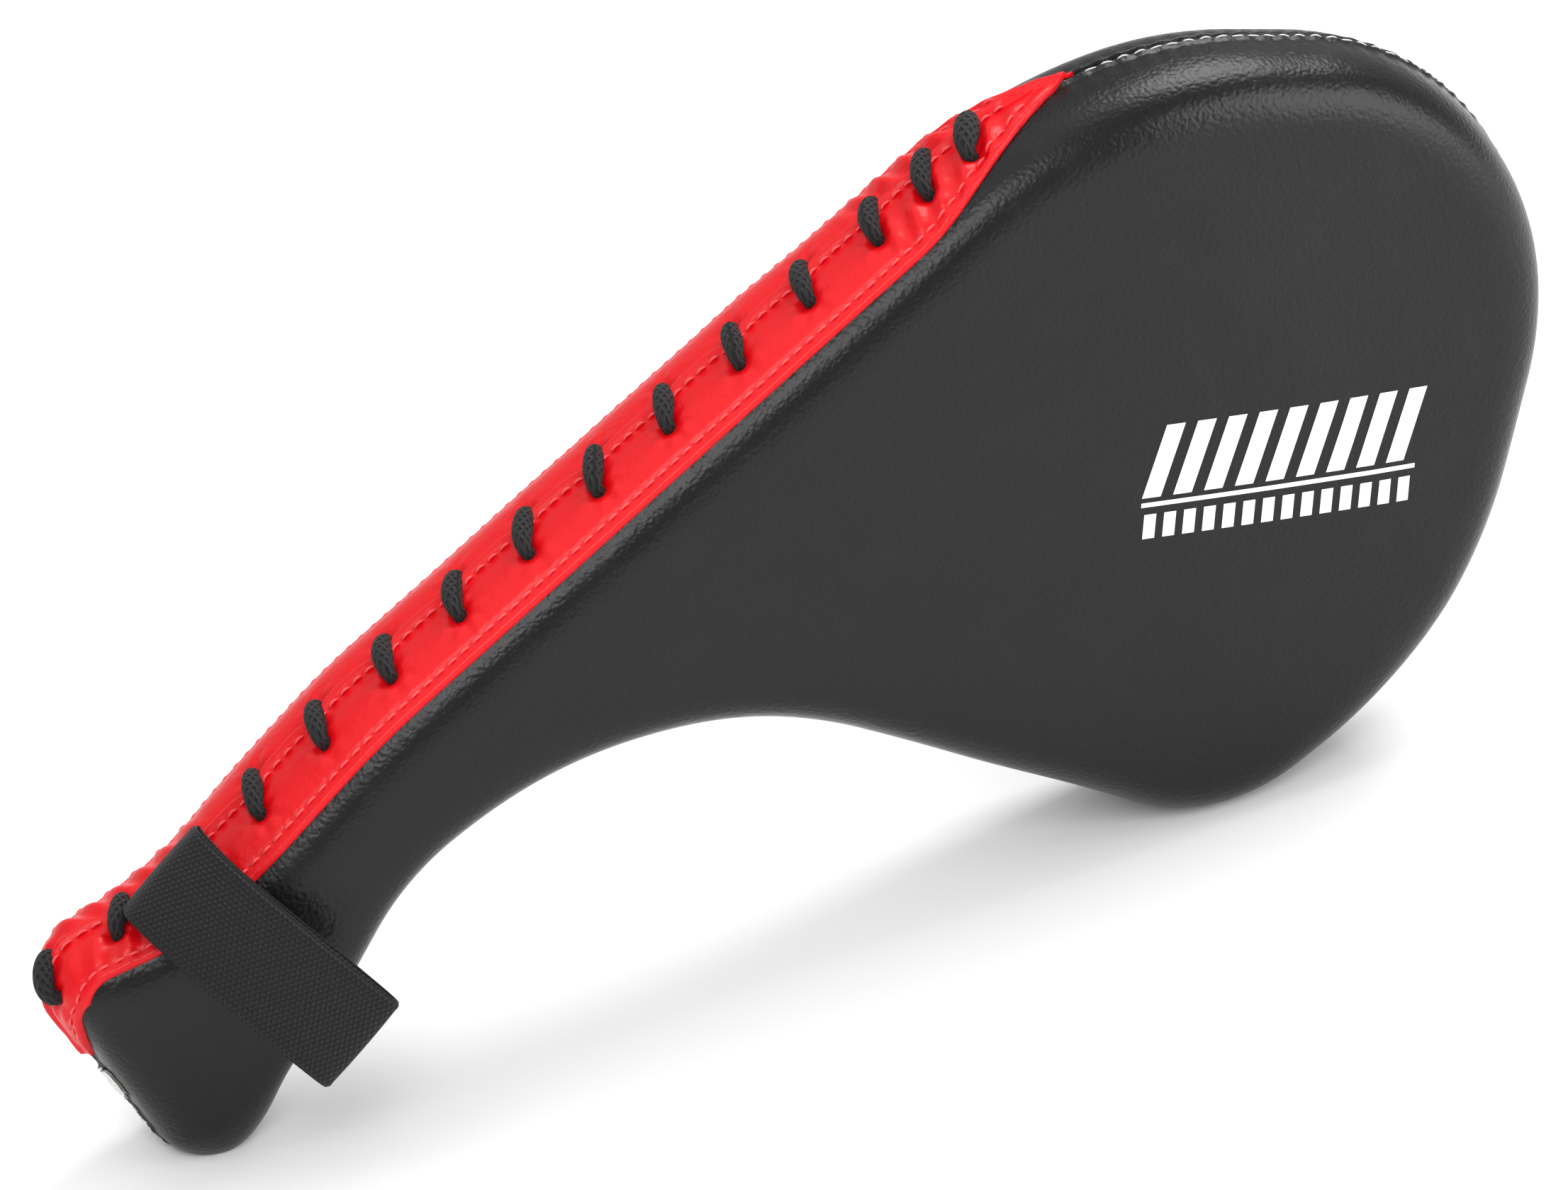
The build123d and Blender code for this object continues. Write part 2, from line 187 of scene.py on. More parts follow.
# ---------------------------------------------------------------- mesh helpers
def make_object(name, verts, faces, material, body="paddle", replaces=(), uv=None,
                outward=None):
    """A smooth piece on one body; outward is the way its faces look on the whole."""
    mesh = bpy.data.meshes.new(name)
    mesh.from_pydata([tuple(v) for v in place(verts)], [], [tuple(f) for f in faces])
    mesh.validate()
    sides = bmesh.new()
    sides.from_mesh(mesh)
    bmesh.ops.recalc_face_normals(sides, faces=sides.faces)
    if outward is not None:
        lean = sum((f.normal * f.calc_area() for f in sides.faces), Vector())
        if lean.dot(Vector(outward)) < 0:
            bmesh.ops.reverse_faces(sides, faces=sides.faces)
    sides.to_mesh(mesh)
    sides.free()
    mesh.polygons.foreach_set("use_smooth", [True] * len(mesh.polygons))
    if uv is not None:
        layer = mesh.uv_layers.new(name="UVMap")
        loops = np.zeros(len(mesh.loops), int)
        mesh.loops.foreach_get("vertex_index", loops)
        layer.data.foreach_set("uv", np.asarray(uv, float).reshape(-1, 2)[loops].ravel())
    piece = bpy.data.objects.new(name, mesh)
    bpy.context.collection.objects.link(piece)
    piece.data.materials.append(material)
    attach(piece, body)
    if replaces:
        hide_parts(*replaces)
    return piece


def grid_faces(rows, cols, closed_cols=False, closed_rows=False, flip=False):
    """Quads over a grid of points stored row by row."""
    faces = []
    for i in range(rows if closed_rows else rows - 1):
        for j in range(cols if closed_cols else cols - 1):
            a, b = i * cols + j, i * cols + (j + 1) % cols
            k = (i + 1) % rows
            c, d = k * cols + (j + 1) % cols, k * cols + j
            faces.append((a, d, c, b) if flip else (a, b, c, d))
    return faces


def merge(parts):
    """Joins (verts, faces, uv) pieces into one set."""
    verts, faces, uvs, base = [], [], [], 0
    for v, f, u in parts:
        v = np.asarray(v).reshape(-1, 3)
        verts.append(v)
        uvs.append(np.zeros((len(v), 2)) if u is None else np.asarray(u).reshape(-1, 2))
        faces += [tuple(i + base for i in face) for face in f]
        base += len(v)
    return np.vstack(verts), faces, np.vstack(uvs)


def tube(path, radii, around):
    """A closed tube along a path, with a radius per point."""
    path = np.asarray(path, float)
    radii = np.broadcast_to(np.asarray(radii, float), len(path))
    tangent = np.gradient(path, axis=0)
    tangent /= np.maximum(np.linalg.norm(tangent, axis=1, keepdims=True), 1e-9)
    normal = np.zeros_like(path)
    seed = np.cross(tangent[0], [0.3, 0.2, 1.0])
    normal[0] = seed / np.linalg.norm(seed)
    for i in range(1, len(path)):
        n = normal[i - 1] - tangent[i] * np.dot(normal[i - 1], tangent[i])
        normal[i] = n / max(np.linalg.norm(n), 1e-9)
    side = np.cross(tangent, normal)
    angles = np.linspace(0, 2 * pi, around, endpoint=False)
    ring = (normal[:, None] * np.cos(angles)[None, :, None]
            + side[:, None] * np.sin(angles)[None, :, None])
    verts = path[:, None] + ring * radii[:, None, None]
    length = np.concatenate([[0], np.cumsum(np.linalg.norm(np.diff(path, axis=0), axis=1))])
    uv = np.stack(np.broadcast_arrays(length[:, None], angles[None] / (2 * pi)), -1)
    faces = grid_faces(len(path), around, closed_cols=True)
    faces.append(tuple(range(around))[::-1])
    faces.append(tuple((len(path) - 1) * around + k for k in range(around)))
    return verts.reshape(-1, 3), faces, uv


# ---------------------------------------------------------------- materials
class Nodes:
    """Short calls for building a node material."""

    def __init__(self, name):
        self.material = bpy.data.materials.new(name)
        self.material.use_nodes = True
        self.tree = self.material.node_tree
        self.shader = self.tree.nodes["Principled BSDF"]

    def add(self, kind, inputs=None, **settings):
        node = self.tree.nodes.new(kind)
        for key, value in settings.items():
            setattr(node, key, value)
        for key, value in (inputs or {}).items():
            self.feed(node.inputs[key], value)
        return node

    def feed(self, socket, value):
        if isinstance(value, bpy.types.NodeSocket):
            self.tree.links.new(value, socket)
        else:
            socket.default_value = value

    def set(self, **values):
        for key, value in values.items():
            self.feed(self.shader.inputs[key.replace("_", " ")], value)

    def coords(self, scale=(1, 1, 1), uv=False):
        source = self.add("ShaderNodeTexCoord").outputs["UV" if uv else "Object"]
        return self.add("ShaderNodeMapping", {"Vector": source, "Scale": scale}).outputs[0]

    def noise(self, vector, scale, detail=4.0, rough=0.55):
        node = self.add("ShaderNodeTexNoise", {
            "Vector": vector, "Scale": scale, "Detail": detail, "Roughness": rough})
        return node.outputs["Fac"]

    def cells(self, vector, scale, feature):
        node = self.add("ShaderNodeTexVoronoi", {"Vector": vector, "Scale": scale},
                        feature=feature)
        return node.outputs["Distance"]

    def math(self, operation, a, b=0.0):
        node = self.add("ShaderNodeMath", {0: a, 1: b}, operation=operation)
        return node.outputs[0]

    def band(self, value, low, high):
        node = self.add("ShaderNodeMapRange", {
            "Value": value, "From Min": low, "From Max": high})
        return node.outputs[0]

    def mix(self, factor, a, b):
        node = self.add("ShaderNodeMix", data_type="RGBA")
        self.feed(node.inputs[0], factor)
        self.feed(node.inputs[6], a)
        self.feed(node.inputs[7], b)
        return node.outputs[2]

    def bump(self, height, distance, strength=1.0, under=None):
        inputs = {"Height": height, "Distance": distance, "Strength": strength}
        if under is not None:
            inputs["Normal"] = under
        return self.add("ShaderNodeBump", inputs).outputs[0]


def leather(name, dark, light, rough, grain, depth, gloss):
    """Grained leather: pebbles and creases at the grain's scale, with faint wear in its colour."""
    n = Nodes(name)
    space = n.coords()
    pebble = n.cells(space, grain, "SMOOTH_F1")
    creases = n.cells(n.coords((1.0, 1.4, 1.0)), grain * 0.45, "DISTANCE_TO_EDGE")
    soft = n.noise(space, 18.0, 5.0)
    fine = n.noise(space, grain * 2.0, 3.0)
    wear = n.band(n.noise(space, 55.0, 6.0, 0.7), 0.5, 0.78)
    n.set(Base_Color=n.mix(n.math("MULTIPLY", soft, wear), dark, light))
    uneven = n.math("MULTIPLY", n.math("SUBTRACT", soft, 0.5), 0.16)
    n.set(Roughness=n.math("ADD", n.math("ADD", rough, uneven), n.math("MULTIPLY", wear, 0.06)))
    n.set(Specular_IOR_Level=gloss)
    body = n.bump(soft, 0.0016, 0.35)
    body = n.bump(creases, 0.00022, 0.5, body)
    body = n.bump(pebble, depth, 0.9, body)
    n.set(Normal=n.bump(fine, depth * 0.35, 0.5, body))
    return n.material


def thread(name, colour, rough):
    """Matte fibre or ink in one colour with fine unevenness."""
    n = Nodes(name)
    space = n.coords()
    n.set(Base_Color=n.mix(n.noise(space, 900.0), colour, [c * 0.8 for c in colour[:3]] + [1]))
    n.set(Roughness=rough, Normal=n.bump(n.noise(space, 2400.0, 2.0), 0.0001))
    return n.material


def braid(name):
    """Matte braided cord: two crossing helices over the tube's own coordinates, in mm and turns."""
    n = Nodes(name)
    split = n.add("ShaderNodeSeparateXYZ", {0: n.coords(uv=True)})
    along = n.math("MULTIPLY", split.outputs[0], 2 * pi / 2.6)
    around = n.math("MULTIPLY", split.outputs[1], 2 * pi * 8)
    one = n.math("SINE", n.math("ADD", along, around))
    two = n.math("SINE", n.math("SUBTRACT", along, around))
    weave = n.math("MAXIMUM", one, two)
    fibre = n.noise(n.coords(), 2600.0, 3.0)
    # The colour follows the weave's height: painted shade, darker in the grooves between the strands and
    # lighter on their crests.
    dark, light = (0.003, 0.003, 0.003, 1), (0.016, 0.016, 0.017, 1)
    n.set(Base_Color=n.mix(n.band(weave, -0.4, 1.0), dark, light), Roughness=0.72)
    n.set(Sheen_Weight=0.04, Sheen_Roughness=0.5, Specular_IOR_Level=0.3)
    n.set(Normal=n.bump(fibre, 0.00012, 0.6, n.bump(weave, 0.00038, 1.0)))
    return n.material


def webbing(name):
    """Woven elastic: ribs along the tape, staggered in every second column."""
    n = Nodes(name)
    split = n.add("ShaderNodeSeparateXYZ", {0: n.coords(uv=True)})
    along, across = split.outputs[0], split.outputs[1]
    column = n.math("FLOOR", n.math("MULTIPLY", across, 1 / 1.15))
    shifted = n.math("ADD", along, n.math("MULTIPLY", n.math("MODULO", column, 2.0), 0.7))
    rib = n.math("SINE", n.math("MULTIPLY", shifted, 2 * pi / 1.4))
    gutter = n.math("SINE", n.math("MULTIPLY", across, 2 * pi / 1.15))
    weave = n.math("MULTIPLY", n.math("ADD", rib, 1.0), n.math("ADD", gutter, 1.2))
    fibre = n.noise(n.coords(), 2200.0, 3.0)
    # The colour follows the weave's height: painted shade, darker in the gutters and between the ribs
    # and lighter on the ribs' tops.
    dark, light = (0.002, 0.002, 0.0025, 1), (0.018, 0.018, 0.019, 1)
    n.set(Base_Color=n.mix(n.band(weave, 0.0, 4.0), dark, light), Roughness=0.62)
    n.set(Sheen_Weight=0.03, Specular_IOR_Level=0.3)
    n.set(Normal=n.bump(fibre, 0.0001, 0.6, n.bump(weave, 0.0003, 1.0)))
    return n.material


BLACK = leather("black leather", (0.0022, 0.0022, 0.0025, 1), (0.007, 0.007, 0.0075, 1),
                0.31, 1000.0, 0.00010, 0.30)
RED = leather("red leather", (0.66, 0.0008, 0.005, 1), (0.74, 0.004, 0.010, 1),
              0.36, 800.0, 0.00005, 0.30)
RED_THREAD = thread("red thread", (0.90, 0.07, 0.08, 1), 0.5)
GREY_THREAD = thread("grey thread", (0.62, 0.62, 0.63, 1), 0.4)
CORD = braid("braided cord")
ELASTIC = webbing("woven elastic")
TAG = thread("woven tag", (0.82, 0.82, 0.80, 1), 0.75)
PRINT = thread("white print", (0.95, 0.95, 0.95, 1), 0.45)


# ---------------------------------------------------------------- black covers
def wall_relief(s, q):
    """How the side wall and the rims stand over the plain padded shape."""
    lip = 0.75 * np.exp(-((np.abs(q) - 1.2) / 1.1) ** 2) - 1.0 * np.exp(-(q / 0.6) ** 2)
    puckers = 0.16 * np.exp(-(q / 7.0) ** 2) * np.sin(s * 2 * pi / 5.3 + waves(s, q, 3, 60) * 3)
    slack = 0.4 * waves(s, q * 1.5, 11, 60)
    swell = 1.6 * np.exp(-((s - PERIMETER + 64) / 9.0) ** 2)
    dip = 1.4 * np.exp(-((s - PERIMETER + 88) / 8.0) ** 2)
    return lip + puckers + slack + swell - dip


def face_relief(x, z):
    """Gentle dome and dents of the two faces, in mm outward."""
    dome = 1.6 * np.exp(-(((x - 295) / 90) ** 2 + ((z + 55) / 85) ** 2))
    dents = 0.3 * waves(x, z, 21, 110) + 0.05 * waves(x, z, 22, 40)
    return dome + dents


def cover(side):
    """One black cover: its half of the wall, its rounded rim and its face."""
    stations = np.arange(0, PERIMETER, 1.15)
    across = np.concatenate([np.linspace(0.0, 3.2, 9), np.linspace(4.0, RING_RUN, 24)]) * side
    across[0] = 1e-6 * side
    s, q = np.meshgrid(stations, across, indexing="ij")
    base = surf(s, q)
    blend = smooth(np.abs(q) / RING_RUN * 1.6 - 0.6)
    height = wall_relief(s, q) * (1 - blend) + face_relief(base[..., 0], base[..., 2]) * blend
    shell = surf(s, q, height)
    rows, cols = len(stations), len(across)
    verts = list(shell.reshape(-1, 3))
    faces = grid_faces(rows, cols, closed_rows=True, flip=side < 0)

    inner = shell[:, -1]
    boundary = [Vector((p[0], p[2])) for p in inner]
    step = 2.2
    poly = np.array([(p.x, p.y) for p in boundary])
    xs = np.arange(poly[:, 0].min(), poly[:, 0].max(), step)
    zs = np.arange(poly[:, 1].min(), poly[:, 1].max(), step)
    gx, gz = np.meshgrid(xs, zs)
    gx, gz = gx.ravel(), gz.ravel()
    inside = np.zeros(len(gx), bool)
    x1, z1 = poly[:, 0], poly[:, 1]
    x2, z2 = np.roll(x1, -1), np.roll(z1, -1)
    for a, b, c, d in zip(x1, z1, x2, z2):
        hit = (b > gz) != (d > gz)
        if abs(d - b) > 1e-9:
            inside ^= hit & (gx < (c - a) * (gz - b) / (d - b) + a)
    near = np.min(np.hypot(gx[:, None] - x1[None, ::2], gz[:, None] - z1[None, ::2]), 1)
    keep = inside & (near > 1.3)
    points = boundary + [Vector((x, z)) for x, z in zip(gx[keep], gz[keep])]
    loop = [list(range(len(boundary)))]
    out = delaunay_2d_cdt(points, [], loop, 1, 1e-5)
    new_points, new_faces, origin = out[0], out[2], out[3]
    index = {}
    for i, (p, source) in enumerate(zip(new_points, origin)):
        old = [k for k in source if k < len(boundary)]
        if old:
            index[i] = old[0] * cols + cols - 1
        else:
            gap = np.min(np.hypot(p.x - poly[:, 0], p.y - poly[:, 1]))
            deep = np.interp(RING_DEPTH + gap, PROFILE_IN, PROFILE_Y)
            y = (deep * thinness(p.x, side) + face_relief(p.x, p.y)) * side
            index[i] = len(verts)
            verts.append(np.array([p.x, y, p.y]))
    for face in new_faces:
        ring = [index[k] for k in face]
        faces.append(tuple(ring if side < 0 else ring[::-1]))
    name = "front" if side < 0 else "back"
    gone = [f"{name}_cover", f"grip_foam_{name}", f"head_foam_{name}"]
    if side < 0:
        gone += ["edge_foam", "butt_foam", "core_board", "perimeter_welt"]
    piece = make_object(f"{name}_cover_leather", verts, faces, BLACK,
                        replaces=gone, outward=(0, side, 0))


for face_side in (-1, 1):
    cover(face_side)


# ---------------------------------------------------------------- red plackets
def band_width(s):
    """Half width of the red bands along the laced edge."""
    head = np.sqrt(smooth((HEAD_TIP - s) / 58.0)) ** 1.15
    butt = np.clip((s - BUTT_TIP) / 24.0, 0, 1) ** 0.7
    return BAND_WIDTH * head * butt


def pull(s):
    """1 at each crossing of the lace and 0 between them."""
    out = 0
    for at in LACES:
        out = np.maximum(out, np.exp(-((s - at) / 4.2) ** 2))
    return out


def fold_line(s):
    """Where the front band's folded edge lies over the back one: arcs with a dip at each lace."""
    swell = 2.6 * np.sqrt(np.clip(1 - pull(s), 0, 1)) + 0.5 * waves(s, 0 * s, 31, 45)
    ends = smooth((s - BUTT_TIP) / 18) * smooth((HEAD_TIP - s) / 14)
    return (0.4 + swell) * ends


def band_relief(s, q, side):
    """Height of a red band over the wall."""
    width = band_width(s)
    edge = np.abs(q) / np.maximum(width, 0.5)
    rim = 0.5 * np.exp(-((np.abs(q) - width + 1.0) / 1.1) ** 2)
    stitch = -0.3 * np.exp(-((np.abs(q) - width + 3.2) / 0.8) ** 2)
    pillow = 0.9 * np.sin(pi * np.clip(edge, 0, 1)) ** 0.8
    dimple = np.zeros_like(s)
    rays = np.zeros_like(s)
    for k, at in enumerate(LACES):
        ds, dq = s - (at + side * SLANT), q - side * HALF_SPAN - LACE_CENTRE
        away = np.hypot(ds, dq)
        dimple -= 1.9 * np.exp(-(away / 2.6) ** 2)
        lift = np.exp(-((away - 4.6) / 2.3) ** 2)
        angle = np.arctan2(dq, ds)
        rays += 0.2 * lift * np.sin(angle * (5 + k % 3) + k * 1.7 + 0.25 * away)
    gather = smooth((s - 262) / 22) * smooth((324 - s) / 18)
    gather = gather + 0.8 * smooth((66 - s) / 16) * smooth((s - 8) / 14)
    folds = 0.75 * gather * np.sin(s * 2 * pi / 7.5 + np.abs(q) * 0.35 + 2 * waves(s, q, 41, 30))
    soft = 0.22 * waves(s, q, 43, 34) + 0.05 * waves(s, q, 44, 12)
    ends = smooth((s - BUTT_TIP) / 10) * smooth((HEAD_TIP - s) / 16)
    return 1.0 + (rim + stitch + pillow + dimple + rays + folds * np.sin(pi * np.clip(edge, 0, 1))
                  + soft) * ends


def band(side):
    """One red band, from its outer edge to its folded edge at the slit."""
    stations = np.arange(BUTT_TIP, HEAD_TIP, 0.8)
    count = 46
    rows = []
    for s in stations:
        width = float(band_width(s))
        inner = float(fold_line(np.array([s]))[0]) if side < 0 else -0.6
        limit = min(inner, width)
        share = np.linspace(0, 1, count)
        rows.append(-width + (limit + width) * share if side < 0 else
                    width + (limit - width) * share)
    q = np.array(rows)
    s = np.repeat(stations[:, None], count, 1)
    height = band_relief(s, q, side)
    if side < 0:
        to_edge = np.abs(q - q[:, -1:])
        height += 1.5 * np.exp(-((to_edge - 1.5) / 1.6) ** 2) * (q[:, -1:] > 0.2)
        height[:, -1] -= 1.4
        height[:, -2] -= 0.3
    else:
        to_slit = np.abs(q)
        height -= 0.9 * np.exp(-(to_slit / 2.5) ** 2)
    height[:, 0] -= 1.6
    height[:, 1] -= 0.2
    verts = surf(s, q, height)
    faces = grid_faces(len(stations), count, flip=side > 0)
    name = "front" if side < 0 else "back"
    gone = [f"{name}_placket"] + (["lace_tongue", "loop_anchor"] if side < 0 else [])
    make_object(f"{name}_placket_leather", verts, faces, RED, replaces=gone,
                outward=(0, 0, 1))


for band_side in (-1, 1):
    band(band_side)


SUNK = 0.15               # how deep the ends of a stitch sit


def stitches(name, line, length, gap, radius, material):
    """A row of short stitches along a line: its start, its end and a function of distance."""
    parts = []
    position, end, at = line
    while position + length < end:
        t = np.linspace(position, position + length, 6)
        rise = np.sin(np.linspace(0, pi, 6)) * radius * 1.4 - SUNK
        parts.append(tube(at(t, rise), radius * np.array([0.6, 1, 1.1, 1.1, 1, 0.6]), 6))
        position += length + gap
    verts, faces, uv = merge(parts)
    make_object(name, verts, faces, material, uv=uv)


def along_band(side, from_edge):
    def at(t, rise):
        q = side * (band_width(t) - from_edge)
        return surf(t, q, band_relief(t, q, side) + rise)
    return at


for side, name in ((-1, "front"), (1, "back")):
    stitches(f"{name}_band_stitches", (BUTT_TIP + 12, HEAD_TIP - 12, along_band(side, 3.2)),
             3.0, 0.9, 0.34, RED_THREAD)


def along_fold(t, rise):
    q = fold_line(t) - 3.4
    return surf(t, q, band_relief(t, q, -1) + 0.6 + rise)


stitches("fold_stitches", (BUTT_TIP + 20, HEAD_TIP - 16, along_fold), 3.0, 0.9, 0.34,
         RED_THREAD)


def along_seam(side):
    def at(t, rise):
        q = np.full_like(t, side * 1.5)
        return surf(t, q, wall_relief(t, q) + rise)
    return at


stitches("seam_stitches", (HEAD_TIP + 2, PERIMETER + BUTT_TIP - 2, along_seam(-1)), 3.2, 1.1,
         0.2, GREY_THREAD)


# ---------------------------------------------------------------- lace
def lace_path():
    """Centre line of the whipped lace and its thickness."""
    path, radius = [], []
    for k, at in enumerate(LACES):
        t = np.linspace(-1, 1, 41)
        q = LACE_CENTRE + t * (HALF_SPAN + 0.4)
        s = at + t * SLANT + 0.5 * np.sin(t * 2 + k)
        height = 2.4 * np.sqrt(np.clip(1 - np.abs(t) ** 3.2, 0, 1)) + 1.0 - 4.2 * np.clip(
            (np.abs(t) - 0.86) / 0.14, 0, 1)
        path.append(surf(s, q, height))
        fat = 3.2 if k == len(LACES) - 1 else 2.6
        radius.append(1.5 + (fat - 1.5) * np.cos(t * pi / 2) ** 0.8)
        if k < len(LACES) - 1:
            u = np.linspace(0, 1, 26)[1:-1]
            q = LACE_CENTRE + (HALF_SPAN + 0.4) * (1 - 2 * u)
            s = at + SLANT + u * (LACES[k + 1] - at - 2 * SLANT)
            low = -3.3 - 3.0 * np.sin(pi * u) ** 0.5
            path.append(surf(s, q, low))
            radius.append(np.full(len(u), 1.5))
    return np.vstack(path), np.concatenate(radius)


centre, thickness = lace_path()
lace_verts, lace_faces, lace_uv = tube(centre, thickness, 22)
make_object("braided_lace", lace_verts, lace_faces, CORD,
            replaces=["lace", "lace_knot_butt", "lace_knot_head"], uv=lace_uv)


# ---------------------------------------------------------------- wrist loop
LOOP_AT = 48.0
LOOP_SKEW = radians(13.0)
TAPE_WIDTH = 26.5
TAPE = 1.5


def loop_line():
    """Middle of the tape in section: root, over the top, down to the fold and back under."""
    upper = [(0.6, 2.9), (4.6, 6.6), (11, 9.4), (20, 5.2), (29, -4.0), (36.0, -16.0),
             (41.2, -28.0), (44.2, -39.0)]
    fold = [(44.8, -42.6), (42.6, -44.8), (39.6, -42.6)]
    lower = [(34.8, -33.0), (29.6, -20.0), (25.2, -8.0), (21.4, 0.2), (13.0, 4.2), (5.0, 4.6),
             (0.4, 2.7)]
    knots = np.array(upper + fold + lower)
    t = np.concatenate([[0], np.cumsum(np.hypot(*np.diff(knots, axis=0).T))])
    dense = np.linspace(0, t[-1], 240)
    line = np.stack([np.interp(dense, t, knots[:, k]) for k in (0, 1)], 1)
    for _ in range(26):
        line[1:-1] = (line[:-2] + 2 * line[1:-1] + line[2:]) / 4
    return line


def wrist_loop():
    """The folded tape, as a closed strip with thicker selvedges."""
    line = loop_line()
    tangent = np.gradient(line, axis=0)
    tangent /= np.linalg.norm(tangent, axis=1, keepdims=True)
    normal = np.stack([-tangent[:, 1], tangent[:, 0]], 1)
    lean = np.array([cos(LOOP_SKEW), 0, sin(LOOP_SKEW)])
    out = np.array([-sin(LOOP_SKEW), 0, cos(LOOP_SKEW)])
    origin = surf(LOOP_AT, 0.0, 0.0) + np.array([-1.0, 0.0, 2.0])
    run = np.concatenate([[0], np.cumsum(np.linalg.norm(np.diff(line, axis=0), axis=1))])
    w = np.concatenate([[-0.5], np.linspace(-0.497, 0.497, 41), [0.5]]) * TAPE_WIDTH
    selvedge = 0.28 * np.exp(-((np.abs(w) - TAPE_WIDTH / 2 + 1.0) / 0.7) ** 2)
    thick = (TAPE / 2 + selvedge) * np.sqrt(np.clip(1 - (np.abs(w) / (TAPE_WIDTH / 2)) ** 14,
                                                    0.02, 1))
    sag = 0.5 * (1 - (2 * w / TAPE_WIDTH) ** 2)
    parts = []
    for sign in (1, -1):
        shift = sign * thick[None, :] + sag[None, :] * 0.6
        section = line[:, None, :] + normal[:, None, :] * shift[..., None]
        points = (origin + np.array([0, -1, 0]) * section[..., :1] + out * section[..., 1:]
                  + lean * w[None, :, None])
        uv = np.stack(np.broadcast_arrays(run[:, None], w[None, :] + 40), -1)
        parts.append((points, grid_faces(len(line), len(w), flip=sign < 0), uv))
    verts, faces, uv = merge(parts)
    half = len(line) * len(w)
    cols = len(w)
    for i in range(len(line) - 1):
        for j in (0, cols - 1):
            a, b = i * cols + j, (i + 1) * cols + j
            ring = (a, b, b + half, a + half)
            faces.append(ring if j == 0 else ring[::-1])
    for i in (0, len(line) - 1):
        for j in range(cols - 1):
            a, b = i * cols + j, i * cols + j + 1
            ring = (a, b, b + half, a + half)
            faces.append(ring[::-1] if i == 0 else ring)
    make_object("elastic_loop", verts, faces, ELASTIC, body="wrist_loop",
                replaces=["wrist_loop"], uv=uv)


wrist_loop()


# ---------------------------------------------------------------- tag and print
def tag():
    """A blank woven tag folded over the seam on the butt."""
    middle = PERIMETER - 25.0
    s = np.linspace(middle - 4.5, middle + 4.5, 14)
    q = np.linspace(-6.5, 6.5, 27)
    ss, qq = np.meshgrid(s, q, indexing="ij")
    height = wall_relief(ss, qq) + 0.7
    top = surf(ss, qq, height)
    low = surf(ss, qq, height - 0.6)
    count = top.shape[0] * top.shape[1]
    verts = np.vstack([top.reshape(-1, 3), low.reshape(-1, 3)])
    faces = grid_faces(len(s), len(q))
    faces += [tuple(i + count for i in f[::-1]) for f in faces]
    make_object("edge_tag", verts, faces, TAG, replaces=["edge_label"])


tag()

PRINT_CENTRE = (309.0, -79.0)
PRINT_ANGLE = radians(-35.0)
PRINT_LENGTH = 76.0
BARS = 9
DASHES = 14
BAR_LEAN = 5.0
PRINTED_SHARE = 0.6       # of each bar's or dash's pitch


def printed_quad(corners, parts, cells=6):
    """A thin patch of print over the front face, from four corners in the print's own plane."""
    a, b, c, d = [np.array(p, float) for p in corners]
    u = np.linspace(0, 1, cells + 1)
    uu, vv = np.meshgrid(u, u, indexing="ij")
    flat = (a * ((1 - uu) * (1 - vv))[..., None] + b * (uu * (1 - vv))[..., None]
            + c * (uu * vv)[..., None] + d * ((1 - uu) * vv)[..., None])
    x = PRINT_CENTRE[0] + flat[..., 0] * cos(PRINT_ANGLE) - flat[..., 1] * sin(PRINT_ANGLE)
    z = PRINT_CENTRE[1] + flat[..., 0] * sin(PRINT_ANGLE) + flat[..., 1] * cos(PRINT_ANGLE)
    y = -(HALF_THICKNESS * thinness(x) + face_relief(x, z) + 0.12)
    parts.append((np.stack([x, y, z], -1), grid_faces(cells + 1, cells + 1), None))


def face_print():
    """A plain ornament: leaning bars over a rule, with dashes under it."""
    parts = []
    half = PRINT_LENGTH / 2
    pitch = PRINT_LENGTH / BARS
    for k in range(BARS):
        left = -half + k * pitch
        right = left + PRINTED_SHARE * pitch
        printed_quad([(left, 2.0), (right, 2.0), (right + BAR_LEAN, 21), (left + BAR_LEAN, 21)],
                     parts)
    printed_quad([(-half, -0.5), (half, -0.5), (half, 0.7), (-half, 0.7)], parts, 24)
    pitch = PRINT_LENGTH / DASHES
    for k in range(DASHES):
        left = -half + (k + 0.2) * pitch
        right = left + PRINTED_SHARE * pitch
        printed_quad([(left, -9), (right, -9), (right, -2.5), (left, -2.5)], parts)
    verts, faces, uv = merge(parts)
    make_object("face_ornament", verts, faces, PRINT, replaces=["face_print"],
                outward=(0, -1, 0))


face_print()

# ---------------------------------------------------------------- floor, light and camera
FLOOR_REACH = 6.0
AIM = Vector((0, 0, 0.1))

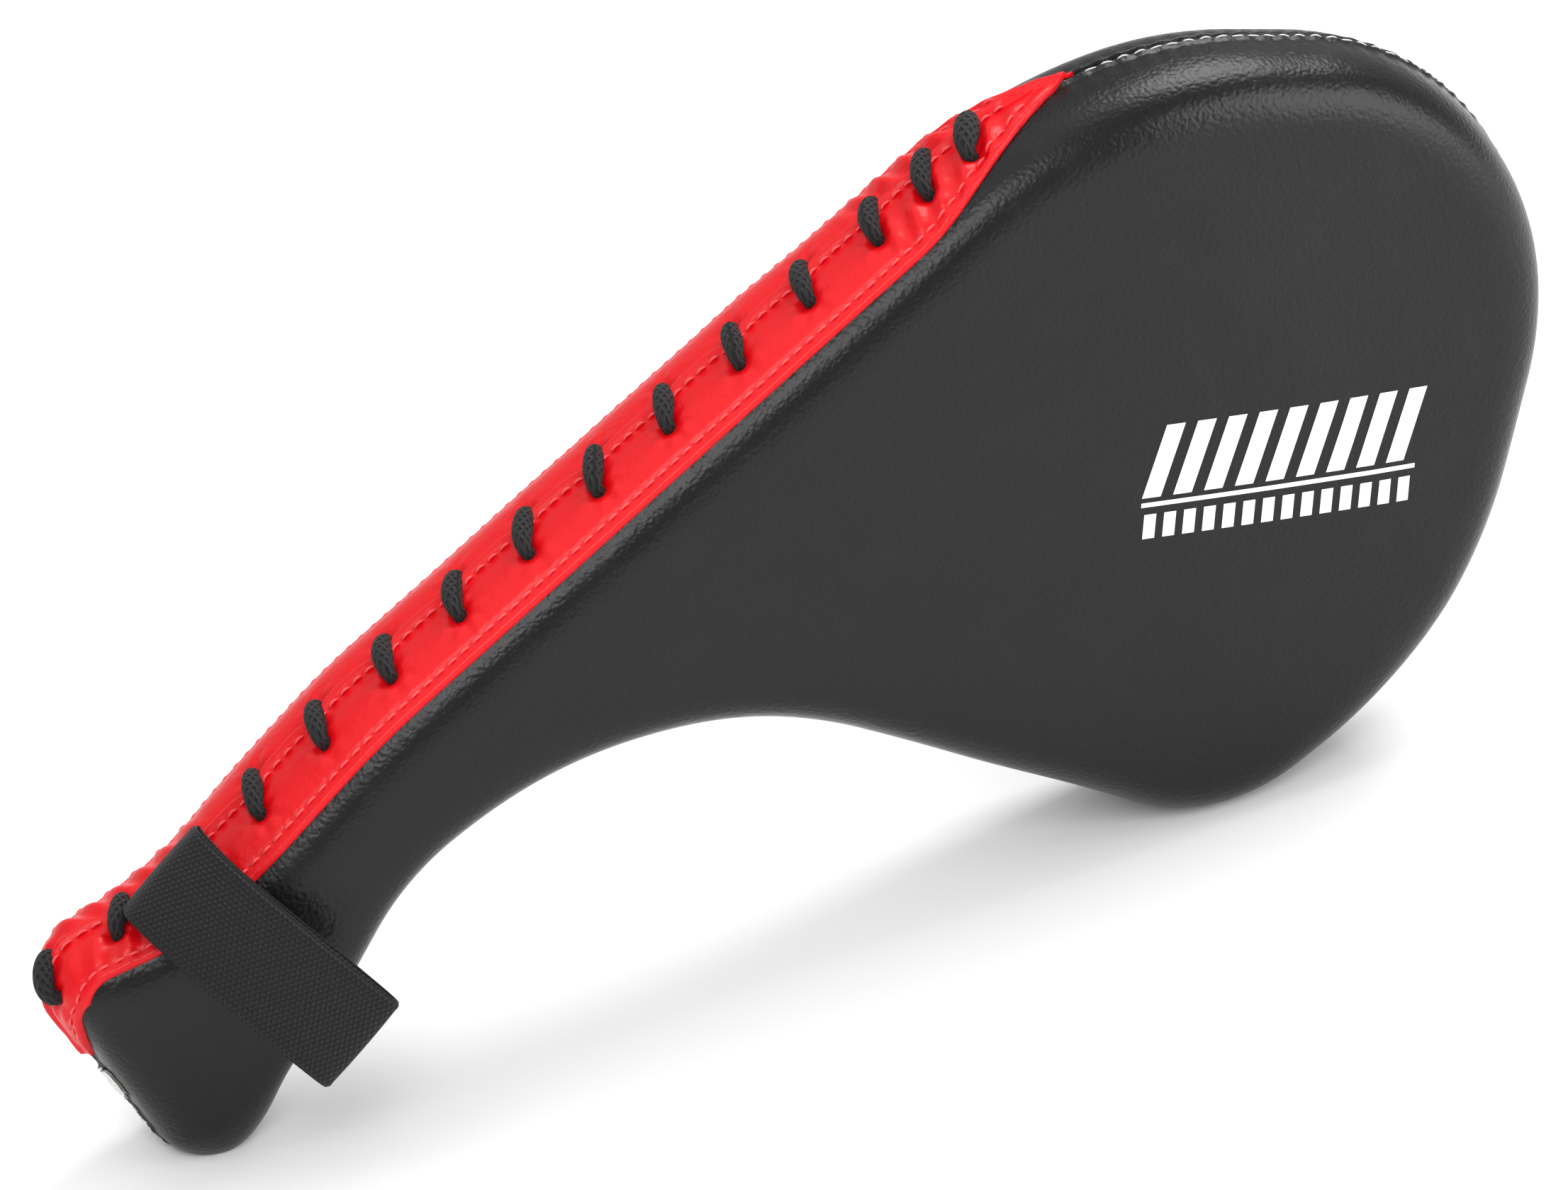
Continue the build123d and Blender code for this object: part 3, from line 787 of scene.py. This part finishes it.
floor_mesh = bpy.data.meshes.new("floor")
floor_corners = [(x * FLOOR_REACH, y * FLOOR_REACH, 0)
                 for x, y in ((-1, -1), (1, -1), (1, 1), (-1, 1))]
floor_mesh.from_pydata(floor_corners, [], [(0, 1, 2, 3)])
floor = bpy.data.objects.new("floor", floor_mesh)
bpy.context.collection.objects.link(floor)
paper = Nodes("floor paper")
paper.set(Base_Color=(0.93, 0.93, 0.93, 1), Roughness=0.9, Specular_IOR_Level=0.1)
floor_mesh.materials.append(paper.material)

world = bpy.data.worlds.new("studio")
bpy.context.scene.world = world
world.use_nodes = True
world.node_tree.nodes["Background"].inputs["Color"].default_value = (1.0, 1.0, 1.0, 1)
world.node_tree.nodes["Background"].inputs["Strength"].default_value = 0.62


def area_light(name, direction, distance, size, power):
    """A soft square lamp aimed at the object from a direction."""
    lamp = bpy.data.lights.new(name, "AREA")
    lamp.shape = "SQUARE"
    lamp.size = size
    lamp.energy = power
    holder = bpy.data.objects.new(name, lamp)
    bpy.context.collection.objects.link(holder)
    holder.location = Vector(direction).normalized() * distance + AIM
    holder.rotation_euler = (AIM - holder.location).to_track_quat("-Z", "Y").to_euler()


area_light("key", (1.1, 0.35, 1.5), 1.9, 0.9, 22)
area_light("overhead", (-0.3, 0.2, 1.8), 2.0, 2.2, 12)
area_light("front", (-0.6, -1.3, 1.25), 2.2, 1.0, 20)
area_light("side", (1.0, -0.85, 0.30), 1.5, 0.9, 11)

CAMERA_AZIMUTH = radians(-21.504)     # from straight in front, towards the butt where negative
CAMERA_ELEVATION = radians(30.343)
CAMERA_ROLL = radians(-7.736)
CAMERA_DISTANCE = 2.2095
CAMERA_AIM = Vector((-0.0017, place([(0, 0, 0)])[0][1], 0.0910))
level = cos(CAMERA_ELEVATION)
toward = Vector((sin(CAMERA_AZIMUTH) * level, -cos(CAMERA_AZIMUTH) * level,
                 sin(CAMERA_ELEVATION)))
turned = Matrix.Rotation(CAMERA_ROLL, 3, toward)
right = turned @ Vector((0, 0, 1)).cross(toward).normalized()
up = toward.cross(right)
camera_data = bpy.data.cameras.new("camera")
camera_data.sensor_width = 36.0
camera_data.lens = 210.8
camera_data.clip_end = 50
camera = bpy.data.objects.new("camera", camera_data)
bpy.context.collection.objects.link(camera)
basis = Matrix((right, up, toward)).transposed().to_4x4()
basis.translation = CAMERA_AIM + toward * CAMERA_DISTANCE
camera.matrix_world = basis
bpy.context.scene.camera = camera
bpy.context.scene.view_settings.view_transform = "Standard"
